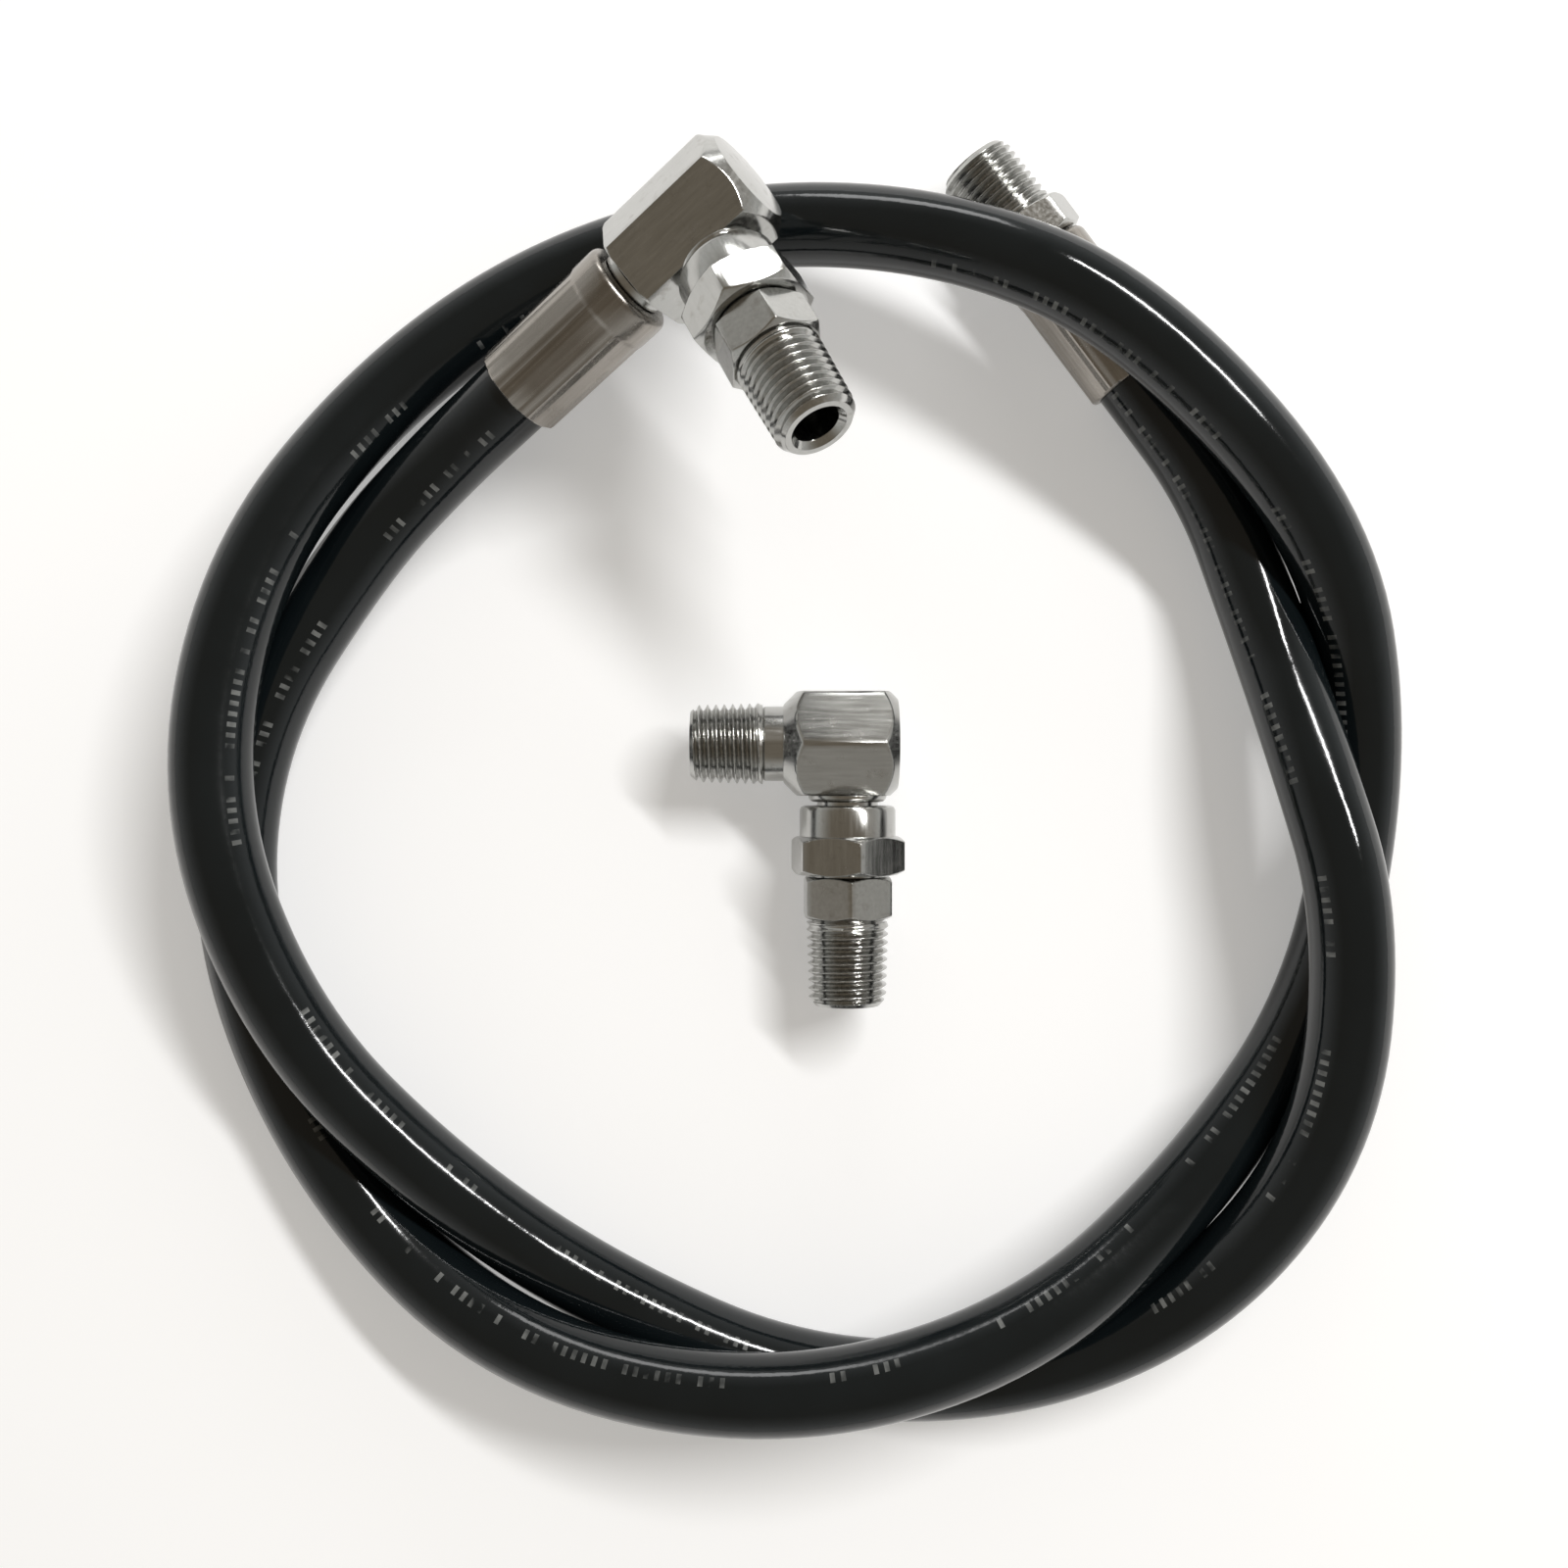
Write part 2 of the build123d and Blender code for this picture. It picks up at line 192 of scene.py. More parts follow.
# Straight end
STRAIGHT_FLATS = 15.88
STRAIGHT_END_R = 7.6
STRAIGHT_THREAD = 12.8
STRAIGHT_HEX = 6.3
STRAIGHT_BORE_STEP = 2
STRAIGHT_BORE_END = 3
STEM_R = 3.1
STEM_NOSE = 1.5
STEM_NOSE_TAPER = 0.4
STEM_NECK_R = 4.55
STEM_NECK = 3.2
STEM_LENGTH = 21.1

# Ferrules, crimped by eight jaws
FERRULE_R = 8.1
FERRULE_BORE_R = 6.75
FERRULE_LENGTH = 26.0
JAWS = 8
CRIMP_R = 7.8
CRIMP_LENGTH = 20.5
CRIMP_MOUTH = 0.45
CRIMP_MOUTH_EDGE = 0.15
CRIMP_MOUTH_RISE = 0.12
CRIMP_RINGS = (5, 10, 15)
# How the crimp fades into the collar: (height past its end, share of its depth)
CRIMP_FADE = ((-0.6, 1), (-0.2, 0.7), (0.1, 0.2), (0.5, 0))
RIDGE_HEIGHT = 0.13
RIDGE_WIDTH = 1.8
LIP_BORE_R = 4.65
LIP_START = 23.6
SHOULDER_HEIGHT = 1.4
SHOULDER_DEPTH = 1.2
SHOULDER_STEPS = 6

# Camera, straight above the coil, and floor
CAMERA_AT = (-2.3 * MM, -0.2 * MM, 300 * MM)
VIEW_WIDTH = 273.6 * MM
SENSOR = 36.0
FLOOR_SIDE = 3.0
FLOOR_GAP = 0.1 * MM

# Fineness of the meshes: steps round a piece, and rings on a hexagon's coned end
AROUND = 120
FERRULE_AROUND = 240
HOSE_AROUND = 64
LINING_AROUND = 48
CONE_STEPS = 14
CORNER_BREAK = 0.06
HOSE_SHARP = 40
METAL_SHARP = 32


# --- meshes ----------------------------------------------------------------------------------------


def new_piece(name, verts, faces, uvs=None, sharp=None):
    """A smooth mesh object, with sharp edges where faces meet at more than some degrees."""
    mesh = bpy.data.meshes.new(name)
    mesh.from_pydata(verts, [], faces)
    if uvs:
        layer = mesh.uv_layers.new(name="along")
        flat = [value for face in uvs for corner in face for value in corner]
        layer.data.foreach_set("uv", flat)
    mesh.polygons.foreach_set("use_smooth", [True] * len(mesh.polygons))
    if sharp:
        mesh.set_sharp_from_angle(angle=radians(sharp))
    piece = bpy.data.objects.new(name, mesh)
    bpy.context.scene.collection.objects.link(piece)
    return piece


def spline_points(controls):
    """The points of the smooth NURBS line that has these control points."""
    curve = bpy.data.curves.new("route", "CURVE")
    curve.dimensions = "3D"
    spline = curve.splines.new("NURBS")
    spline.points.add(len(controls) - 1)
    for point, place in zip(spline.points, controls):
        point.co = (*place, 1)
    spline.order_u = 3
    spline.use_endpoint_u = True
    spline.resolution_u = 12
    holder = bpy.data.objects.new("route", curve)
    mesh = bpy.data.meshes.new_from_object(holder)
    points = [vertex.co.copy() for vertex in mesh.vertices]
    bpy.data.objects.remove(holder)
    bpy.data.curves.remove(curve)
    bpy.data.meshes.remove(mesh)
    return points


def carried_frames(points):
    """At each point the line's direction and two sides, carried along it without twisting."""
    frames = []
    side = Vector((0, 0, 1))
    for index, point in enumerate(points):
        before = points[max(index - 1, 0)]
        after = points[min(index + 1, len(points) - 1)]
        ahead = (after - before).normalized()
        side = (side - ahead * side.dot(ahead)).normalized()
        frames.append((point, side, ahead.cross(side)))
    return frames


def tube(name, frames, outer_r, inner_r, around):
    """A hose layer. Its UVs are the share of a turn and the distance along the hose in metres."""
    verts = []
    travelled = [0.0]
    for (start, _, _), (end, _, _) in zip(frames, frames[1:]):
        travelled.append(travelled[-1] + (end - start).length)
    for radius in (outer_r, inner_r):
        for point, up, across in frames:
            for step in range(around):
                turn = 2 * pi * step / around
                verts.append(point + radius * (cos(turn) * up + sin(turn) * across))
    count = len(frames)
    faces = []
    uvs = []
    for shell in range(2):
        first = shell * count * around
        for ring in range(count - 1):
            for step in range(around):
                ahead = (step + 1) % around
                low = first + ring * around
                face = [low + step, low + around + step, low + around + ahead, low + ahead]
                left, right = step / around, (step + 1) / around
                start, end = travelled[ring], travelled[ring + 1]
                corners = [(left, start), (left, end), (right, end), (right, start)]
                faces.append(face[::-1] if shell == 0 else face)
                uvs.append(corners[::-1] if shell == 0 else corners)
    for ring, turned in ((0, True), (count - 1, False)):
        for step in range(around):
            ahead = (step + 1) % around
            outer = ring * around
            inner = (count + ring) * around
            face = [outer + ahead, inner + ahead, inner + step, outer + step]
            faces.append(face[::-1] if turned else face)
            uvs.append([(0, 0)] * 4)
    return new_piece(name, verts, faces, uvs, sharp=HOSE_SHARP)


def hexagon_r(flats, turn):
    """Radius of a hexagon with a flat facing turn 0."""
    return flats / 2 / cos((turn + pi / 6) % (pi / 3) - pi / 6)


def hexagon_rings(flats, bottom, top, bottom_r, top_r, cone):
    """Rings of a hexagonal bar whose corners are turned off to a cone at each end."""
    corner = flats / sqrt(3)
    slope = tan(radians(cone))
    low_cone = (corner - bottom_r) * slope
    high_cone = (corner - top_r) * slope
    heights = [bottom + low_cone * step / CONE_STEPS for step in range(CONE_STEPS + 1)]
    heights += [top - high_cone * step / CONE_STEPS for step in range(CONE_STEPS, -1, -1)]
    rings = []
    for height in heights:
        low = bottom_r + (height - bottom) / slope
        high = top_r + (top - height) / slope
        limit = min(low, high, corner - CORNER_BREAK)
        rings.append((height, lambda turn, limit=limit: min(hexagon_r(flats, turn), limit)))
    return rings


def thread_rings(root, tip):
    """Rings of a right-handed taper thread from its root to its chamfered tip, along Z."""
    steps = int((tip - root) / PITCH * THREAD_RINGS)
    chamfer_slope = tan(radians(THREAD_CHAMFER_ANGLE))
    rings = []
    for step in range(steps + 1):
        height = root + (tip - root) * step / steps
        crest = THREAD_TIP_R + (tip - height) * THREAD_TAPER
        run_out = min(1.0, (height - root) / (RUN_OUT_TURNS * PITCH))
        chamfer = THREAD_TIP_R - THREAD_CHAMFER + (tip - height) / chamfer_slope

        def radius(turn, height=height, crest=crest, run_out=run_out, chamfer=chamfer):
            phase = (height / PITCH - turn / (2 * pi)) % 1.0
            flank = (1 - abs(2 * phase - 1) - CREST_WIDTH) / FLANKS_WIDTH
            flank = min(max(flank, 0.0), 1.0)
            eased = flank + FLANK_EASE * (flank * flank * (3 - 2 * flank) - flank)
            depth = THREAD_HEIGHT * (RUN_OUT_DEPTH + (1 - RUN_OUT_DEPTH) * run_out)
            return min(crest - depth * (1 - eased), chamfer)

        rings.append((height, radius))
    return rings


def plain(*outline):
    """Round rings from (radius, height) points."""
    return [(height, lambda turn, radius=radius: radius) for radius, height in outline]


def ringed_piece(name, rings, place, open_through=True, around=AROUND):
    """A piece round Z from rings of (height, radius as a function of the turn), in millimetres.

    In a piece that is open right through, the last ring meets the first.
    """
    verts = []
    for height, radius in rings:
        for step in range(around):
            turn = 2 * pi * step / around
            distance = radius(turn)
            local = Vector((distance * cos(turn), distance * sin(turn), height)) * MM
            verts.append(place @ local)
    faces = []
    count = len(rings)
    for ring in range(count if open_through else count - 1):
        low = ring * around
        high = (ring + 1) % count * around
        for step in range(around):
            ahead = (step + 1) % around
            faces.append([low + step, low + ahead, high + ahead, high + step])
    if not open_through:
        faces.append(list(range(around))[::-1])
        faces.append(list(range((count - 1) * around, count * around)))
    return new_piece(name, verts, faces, sharp=METAL_SHARP)


def placed(origin, along, side, turn=0.0):
    """Matrix with Z along the piece and X towards the side, or turned from it by some degrees."""
    along = Vector(along).normalized()
    side = Vector(side)
    side = (side - along * side.dot(along)).normalized()
    matrix = Matrix((side, along.cross(side), along)).transposed().to_4x4()
    return Matrix.Translation(origin) @ matrix @ Matrix.Rotation(radians(turn), 4, "Z")


def thread_tip(mount_name):
    """Where the open end of a mount's thread is, and which way the thread points."""
    mount = MOUNTS[mount_name]
    axis = Vector(mount["axis"])
    reach = mount["dims"]["length_mm"] / 2 + THREAD_CHAMFER
    return Vector(mount["pos_m"]) + axis * reach * MM, axis


def outlet_crossing(mount_name):
    """Where the passages of a mount's elbow cross."""
    tip, axis = thread_tip(mount_name)
    return tip - axis * OUTLET_TIP * MM


# --- threaded pieces, with Z = 0 at the open end and the piece below it ------------------------------


def mouth_rings():
    return plain((NIPPLE_BORE + MOUTH_CHAMFER, 0), (NIPPLE_BORE, -MOUTH_CHAMFER))


def thread_and_mouth_rings(hex_top):
    """Rings from the top of a hexagon, through the relief and the thread, into the open end."""
    rings = plain(
        (RELIEF_R + RELIEF_FLARE, hex_top),
        (RELIEF_R + RELIEF_END_FLARE, hex_top + RELIEF_LENGTH),
    )
    rings += thread_rings(hex_top + THREAD_START, 0)
    return rings + mouth_rings()


def nipple(name, mount_name, side, turn):
    """Nipple of a swivel outlet: inner thread, neck, hexagon and free thread."""
    tip, axis = thread_tip(mount_name)
    hex_top = -NIPPLE_THREAD
    hex_bottom = hex_top - NIPPLE_HEX
    neck = hex_bottom - NIPPLE_NECK
    bottom = neck - NIPPLE_INNER
    rings = plain(
        (NIPPLE_INNER_R - THREAD_CHAMFER, bottom),
        (NIPPLE_INNER_R, bottom + THREAD_CHAMFER),
        (NIPPLE_INNER_R, neck),
        (RELIEF_R, neck),
        (RELIEF_R, hex_bottom),
    )
    rings += hexagon_rings(NIPPLE_FLATS, hex_bottom, hex_top, NIPPLE_END_R, NIPPLE_END_R, NUT_CONE)
    rings += thread_and_mouth_rings(hex_top)
    rings += plain((NIPPLE_BORE, bottom + SEAT_DEPTH), (SEAT_R, bottom))
    return ringed_piece(name, rings, placed(tip, axis, side, turn))


def straight_fitting(name):
    """Straight end in one piece: stem, neck, hexagon and free thread."""
    tip, axis = thread_tip("straight_thread")
    hex_top = -STRAIGHT_THREAD
    hex_bottom = hex_top - STRAIGHT_HEX
    neck = hex_bottom - STEM_NECK
    bottom = neck - STEM_LENGTH
    rings = plain(
        (STEM_R - STEM_NOSE_TAPER, bottom),
        (STEM_R, bottom + STEM_NOSE),
        (STEM_R, neck),
        (STEM_NECK_R, neck),
        (STEM_NECK_R, hex_bottom),
    )
    end_r = STRAIGHT_END_R
    rings += hexagon_rings(STRAIGHT_FLATS, hex_bottom, hex_top, end_r, end_r, NUT_CONE)
    rings += thread_and_mouth_rings(hex_top)
    rings += plain(
        (NIPPLE_BORE, hex_bottom + STRAIGHT_BORE_STEP),
        (STEM_BORE, hex_bottom + STRAIGHT_BORE_END),
        (STEM_BORE, bottom),
    )
    return ringed_piece(name, rings, placed(tip, axis, (0, 0, 1)))


def bar_rings(front, back, back_r):
    """Rings of a bar from its slightly domed front to its back."""
    dome = [(BAR_END_R * share, front - BAR_DOME * (1 - share**2)) for share in BAR_DOME_RINGS]
    return plain(*dome) + hexagon_rings(BAR_FLATS, front, back, BAR_END_R, back_r, BAR_CONE)


def passage_rings(crossing, start):
    """Rings of a drilled passage that ends in a drill's cone just past the crossing."""
    return plain(
        (PASSAGE_R, start),
        (PASSAGE_R, crossing - PASSAGE_SHORT),
        (PASSAGE_TIP_R, crossing - PASSAGE_TIP),
    )


def adapter_body(name):
    """The adapter's bar with its fixed thread."""
    tip, axis = thread_tip("adapter_fixed_thread")
    outlet = MOUNTS["adapter_swivel_thread"]["axis"]
    root = -ADAPTER_THREAD
    back = root - ADAPTER_NECK
    crossing = back - ADAPTER_BACK
    rings = bar_rings(crossing - ADAPTER_FRONT, back, ADAPTER_BACK_R)
    rings += plain(
        (ADAPTER_NECK_R, back),
        (ADAPTER_NECK_R, root + ADAPTER_ROOT),
        (ADAPTER_NECK_R - ADAPTER_NECK_EDGE, root + ADAPTER_ROOT + ADAPTER_NECK_EDGE),
    )
    rings += thread_rings(root + ADAPTER_THREAD_START, 0)
    rings += mouth_rings()
    rings += plain((NIPPLE_BORE, back)) + passage_rings(crossing, back)
    return ringed_piece(name, rings, placed(tip, axis, outlet), open_through=False)


# --- other metal pieces ------------------------------------------------------------------------------


def elbow_body(name, axis):
    """The elbow's bar, with Z from the crossing towards the ferrule."""
    rings = bar_rings(-ELBOW_FRONT, ELBOW_BACK, ELBOW_BACK_R)
    socket_end = ELBOW_BACK - SPIGOT_LENGTH
    rings += plain((SPIGOT_HOLE_R, ELBOW_BACK), (SPIGOT_HOLE_R, socket_end))
    rings += passage_rings(0, socket_end)
    outlet = MOUNTS["elbow_thread"]["axis"]
    place = placed(outlet_crossing("elbow_thread"), -axis, outlet)
    return ringed_piece(name, rings, place, open_through=False)


def swivel_nut(name, mount_name, side, turn):
    """Nut with a round shoulder, which holds the wire, and a hexagon."""
    rings = plain(
        (NUT_LIP_R, NUT_START),
        (NUT_SHOULDER_R - NUT_EDGE, NUT_START),
        (NUT_SHOULDER_R - NUT_EDGE_SHARE * NUT_EDGE, NUT_START + NUT_EDGE_SHARE * NUT_EDGE),
        (NUT_SHOULDER_R, NUT_START + NUT_EDGE),
        (NUT_SHOULDER_R, NUT_HEX_START),
    )
    rings += hexagon_rings(NUT_FLATS, NUT_HEX_START, NUT_END, NUT_END_R, NUT_END_R, NUT_CONE)
    rings += plain(
        (NUT_THREAD_R, NUT_END),
        (NUT_THREAD_R, NUT_LIP_TOP + NUT_EDGE),
        (NUT_LIP_R, NUT_LIP_TOP),
        (NUT_LIP_R, WIRE_HEIGHT + WIRE_GROOVE),
        (WIRE_GROOVE_R, WIRE_HEIGHT + WIRE_GROOVE),
        (WIRE_GROOVE_R, WIRE_HEIGHT - WIRE_GROOVE),
        (NUT_LIP_R, WIRE_HEIGHT - WIRE_GROOVE),
    )
    _, axis = thread_tip(mount_name)
    return ringed_piece(name, rings, placed(outlet_crossing(mount_name), axis, side, turn))


def braze_ring(name, mount_name, side):
    """Rounded bead of braze round the foot of a tail."""
    flat = BAR_FLATS / 2
    inner_r = TAIL_R + TAIL_PLAY
    bead = []
    for step in range(BRAZE_STEPS + 1):
        turn = radians(90 * step / BRAZE_STEPS)
        reach = (BRAZE_R - inner_r) * cos(turn) ** BRAZE_BULGE
        bead.append((inner_r + reach, flat + BRAZE_HEIGHT * sin(turn)))
    _, axis = thread_tip(mount_name)
    rings = plain((inner_r, flat), *bead)
    return ringed_piece(name, rings, placed(outlet_crossing(mount_name), axis, side))


def ferrule(name, mouth, axis):
    """Ferrule with a flat from each jaw, a ridge between two jaws, and a plain collar."""

    def crimp(share):
        def radius(turn):
            from_ridge = (turn + pi / JAWS) % (2 * pi / JAWS) - pi / JAWS
            jaw = CRIMP_R / cos(pi / JAWS - abs(from_ridge))
            ridge = RIDGE_HEIGHT * exp(-((from_ridge / radians(RIDGE_WIDTH)) ** 2))
            crimped = min(jaw, FERRULE_R - RIDGE_HEIGHT) + ridge
            return crimped * share + FERRULE_R * (1 - share)

        return radius

    rings = plain(
        (FERRULE_BORE_R, 0),
        (CRIMP_R - CRIMP_MOUTH, 0),
        (CRIMP_R - CRIMP_MOUTH_EDGE, CRIMP_MOUTH_RISE),
    )
    rings += [(height, crimp(1)) for height in (CRIMP_MOUTH, *CRIMP_RINGS)]
    rings += [(CRIMP_LENGTH + past, crimp(share)) for past, share in CRIMP_FADE]
    shoulder = FERRULE_LENGTH - SHOULDER_HEIGHT
    rings += plain((FERRULE_R, shoulder))
    for step in range(1, SHOULDER_STEPS + 1):
        turn = radians(90 * step / SHOULDER_STEPS)
        radius = FERRULE_R - SHOULDER_DEPTH * (1 - cos(turn))
        rings += plain((radius, shoulder + SHOULDER_HEIGHT * sin(turn)))
    rings += plain((LIP_BORE_R, FERRULE_LENGTH), (LIP_BORE_R, LIP_START), (FERRULE_BORE_R, LIP_START))
    return ringed_piece(name, rings, placed(mouth, axis, (0, 0, 1)), around=FERRULE_AROUND)


# --- materials ---------------------------------------------------------------------------------------

PALE = (0.50, 0.50, 0.485, 1)
MID = (0.42, 0.42, 0.405, 1)
WARM = (0.37, 0.345, 0.315, 1)
DARK = (0.28, 0.26, 0.235, 1)
STAIN = (0.27, 0.25, 0.22, 1)
EDGE = 0.14 * MM

# Texture scales of the metal, per metre
MARK_SCALE = 1500
CLOUD_SCALE = 110
STAIN_SCALE = 420
GRAIN_SCALE = 2600


class Nodes:
    """Short names for building one material's nodes."""

    def __init__(self, name):
        self.material = bpy.data.materials.new(name)
        self.material.use_nodes = True
        self.tree = self.material.node_tree
        self.shader = self.tree.nodes["Principled BSDF"]

    def add(self, kind, **settings):
        node = self.tree.nodes.new(kind)
        for key, value in settings.items():
            setattr(node, key, value)
        return node

    def link(self, start, end):
        self.tree.links.new(start, end)

    def put(self, value, socket):
        if isinstance(value, bpy.types.NodeSocket):
            self.link(value, socket)
        else:
            socket.default_value = value

    def maths(self, operation, first, second=0.0):
        node = self.add("ShaderNodeMath", operation=operation)
        for value, socket in zip((first, second), node.inputs):
            self.put(value, socket)
        return node.outputs[0]

    def product(self, first, *others):
        for value in others:
            first = self.maths("MULTIPLY", first, value)
        return first

    def weighted_sum(self, *pairs):
        """Sum of values, each times its weight."""
        total = None
        for value, weight in pairs:
            part = self.maths("MULTIPLY", value, weight)
            total = part if total is None else self.maths("ADD", total, part)
        return total

    def hashed(self, value):
        """A number from 0 to 1 that is picked anew for each value."""
        node = self.add("ShaderNodeTexWhiteNoise", noise_dimensions="1D")
        self.link(value, node.inputs["W"])
        return node.outputs["Value"]

    def along_hose(self):
        """The share of a turn round the hose, and the distance along it in metres."""
        uv = self.add("ShaderNodeUVMap", uv_map="along")
        split = self.add("ShaderNodeSeparateXYZ")
        self.link(uv.outputs[0], split.inputs[0])
        return split.outputs[0], split.outputs[1]

    def colour(self, value):
        self.put(value, self.shader.inputs["Base Color"])

    def roughness(self, value):
        self.put(value, self.shader.inputs["Roughness"])

    def noise(self, vector, scale, detail=3.0, roughness=0.55):
        node = self.add("ShaderNodeTexNoise")
        self.link(vector, node.inputs["Vector"])
        node.inputs["Scale"].default_value = scale
        node.inputs["Detail"].default_value = detail
        node.inputs["Roughness"].default_value = roughness
        return node.outputs["Fac"]

    def ramp(self, value, low, high, low_out=0.0, high_out=1.0):
        node = self.add("ShaderNodeMapRange")
        for item, socket in zip((value, low, high, low_out, high_out), node.inputs):
            self.put(item, socket)
        return node.outputs["Result"]

    def mix(self, factor, first, second):
        node = self.add("ShaderNodeMix", data_type="RGBA")
        factor_in, first_in, second_in = (node.inputs[index] for index in (0, 6, 7))
        self.put(factor, factor_in)
        self.put(first, first_in)
        self.put(second, second_in)
        return node.outputs[2]

    def place(self):
        return self.add("ShaderNodeTexCoord").outputs["Object"]

    def stretched(self, vector, along, amount):
        """The place with its part along a direction shortened, so that a texture runs that way."""
        direction = Vector(along).normalized()
        dot = self.add("ShaderNodeVectorMath", operation="DOT_PRODUCT")
        self.link(vector, dot.inputs[0])
        dot.inputs[1].default_value = direction
        scale = self.add("ShaderNodeVectorMath", operation="SCALE")
        scale.inputs[0].default_value = direction
        self.link(self.maths("MULTIPLY", dot.outputs["Value"], -amount), scale.inputs["Scale"])
        total = self.add("ShaderNodeVectorMath", operation="ADD")
        self.link(vector, total.inputs[0])
        self.link(scale.outputs[0], total.inputs[1])
        return total.outputs[0]

    def bump(self, height, distance, strength=1.0, edge=None):
        node = self.add("ShaderNodeBump")
        node.inputs["Strength"].default_value = strength
        node.inputs["Distance"].default_value = distance
        self.link(height, node.inputs["Height"])
        if edge:
            rounded = self.add("ShaderNodeBevel", samples=6)
            rounded.inputs["Radius"].default_value = edge
            self.link(rounded.outputs[0], node.inputs["Normal"])
        self.link(node.outputs[0], self.shader.inputs["Normal"])


def plated_metal(name, along, pale, dark, gloss, streak, relief):
    """Bright zinc plate over machined steel, with fine marks that run along one direction.

    The gloss is the roughness of the smoothest and of the roughest marks.
    """
    nodes = Nodes(name)
    place = nodes.place()
    marks = nodes.noise(nodes.stretched(place, along, streak), MARK_SCALE, 4)
    cloud = nodes.noise(place, CLOUD_SCALE, 3)
    stain = nodes.ramp(nodes.noise(place, STAIN_SCALE, 4, 0.65), 0.56, 0.74)
    tone = nodes.ramp(nodes.weighted_sum((marks, 0.6), (cloud, 0.4)), 0.34, 0.66)
    plate = nodes.mix(tone, dark, pale)
    nodes.colour(nodes.mix(nodes.product(stain, 0.45), plate, STAIN))
    nodes.shader.inputs["Metallic"].default_value = 1.0
    marks_roughness = nodes.ramp(marks, 0.35, 0.65, *gloss)
    nodes.roughness(nodes.weighted_sum((marks_roughness, 1.0), (stain, 0.10)))
    grain = nodes.noise(place, GRAIN_SCALE, 2)
    height = nodes.weighted_sum((marks, 0.6), (grain, 0.2), (cloud, 1.2))
    nodes.bump(height, 0.02 * MM, relief, EDGE)
    return nodes.material


def cover_rubber():
    """Glossy black cover with a faint texture and a printed line of plain pale dashes."""
    nodes = Nodes("cover_rubber")
    turn, travel = nodes.along_hose()
    place = nodes.place()

    wander = nodes.maths("SINE", nodes.product(travel, DASH_DRIFT_PACE))
    centre = nodes.maths("ADD", nodes.product(wander, DASH_DRIFT), DASH_BAND)
    off_centre = nodes.maths("ABSOLUTE", nodes.maths("SUBTRACT", turn, centre))
    in_band = nodes.maths("LESS_THAN", off_centre, DASH_HALF_HEIGHT)
    dash_place = nodes.product(travel, DASHES)
    in_dash = nodes.maths("LESS_THAN", nodes.maths("FRACT", dash_place), DASH_LENGTH)
    dash_pick = nodes.hashed(nodes.maths("FLOOR", dash_place))
    group_pick = nodes.hashed(nodes.maths("FLOOR", nodes.product(travel, DASH_GROUPS)))
    dash_shown = nodes.maths("GREATER_THAN", dash_pick, 0.25)
    group_shown = nodes.maths("GREATER_THAN", group_pick, 0.30)
    worn = nodes.ramp(nodes.noise(place, 260, 2), 0.38, 0.66)
    dashes = nodes.product(in_band, in_dash, dash_shown, group_shown, nodes.product(worn, 0.45))

    cloud = nodes.noise(place, 60, 4)
    black = nodes.mix(cloud, (0.0025, 0.0042, 0.0050, 1), (0.0070, 0.0100, 0.0115, 1))
    nodes.colour(nodes.mix(dashes, black, (0.36, 0.37, 0.36, 1)))
    nodes.roughness(nodes.ramp(cloud, 0.3, 0.7, 0.07, 0.14))
    nodes.shader.inputs["IOR"].default_value = 1.48
    pebble = nodes.noise(place, 900, 3)
    wave = nodes.noise(place, 130, 2)
    nodes.bump(nodes.weighted_sum((pebble, 0.30), (wave, 1.0)), 0.12 * MM, 0.40)
    return nodes.material


def inner_rubber():
    """Plain matt black rubber of the inner tube."""
    nodes = Nodes("tube_rubber")
    cloud = nodes.noise(nodes.place(), 300, 3)
    nodes.colour(nodes.mix(cloud, (0.01, 0.01, 0.01, 1), (0.03, 0.03, 0.03, 1)))
    nodes.roughness(0.5)
    nodes.bump(cloud, 0.05 * MM)
    return nodes.material


def braid_metal():
    """Steel wires that cross at the braid's angle, with painted shade: darker and browner down in the
    hollows between the wires.
    """
    nodes = Nodes("braid_wire")
    turn, travel = nodes.along_hose()
    around = nodes.product(turn, BRAID_WIRES)
    forward = nodes.product(travel, BRAID_PACE)

    def wires(operation):
        return nodes.maths("SINE", nodes.product(nodes.maths(operation, around, forward), 2 * pi))

    height = nodes.maths("MAXIMUM", wires("ADD"), wires("SUBTRACT"))
    # Painted shade: the colour follows the wires' height, dark brown in the hollows between them and
    # pale on their crests.
    nodes.colour(nodes.mix(nodes.ramp(height, 0, 1), (0.25, 0.20, 0.12, 1), (0.70, 0.62, 0.45, 1)))
    nodes.shader.inputs["Metallic"].default_value = 1.0
    nodes.roughness(0.3)
    nodes.bump(height, 0.15 * MM)
    return nodes.material


def floor_material():
    """White bench, a little bright of itself so that shadows stay soft."""
    nodes = Nodes("floor")
    cloud = nodes.noise(nodes.place(), 6, 3)
    nodes.colour(nodes.mix(cloud, (0.80, 0.80, 0.80, 1), (0.84, 0.84, 0.84, 1)))
    nodes.roughness(0.9)
    nodes.shader.inputs["Specular IOR Level"].default_value = 0.1
    nodes.shader.inputs["Emission Color"].default_value = (1, 1, 1, 1)
    nodes.shader.inputs["Emission Strength"].default_value = 0.30
    return nodes.material


def give(piece, material):
    """Puts one material on the whole of a piece, on the object and not on its mesh."""
    if not piece.material_slots:
        piece.data.materials.append(material)
    for material_slot in piece.material_slots:
        material_slot.link = "OBJECT"
        material_slot.material = material


# --- the object --------------------------------------------------------------------------------------


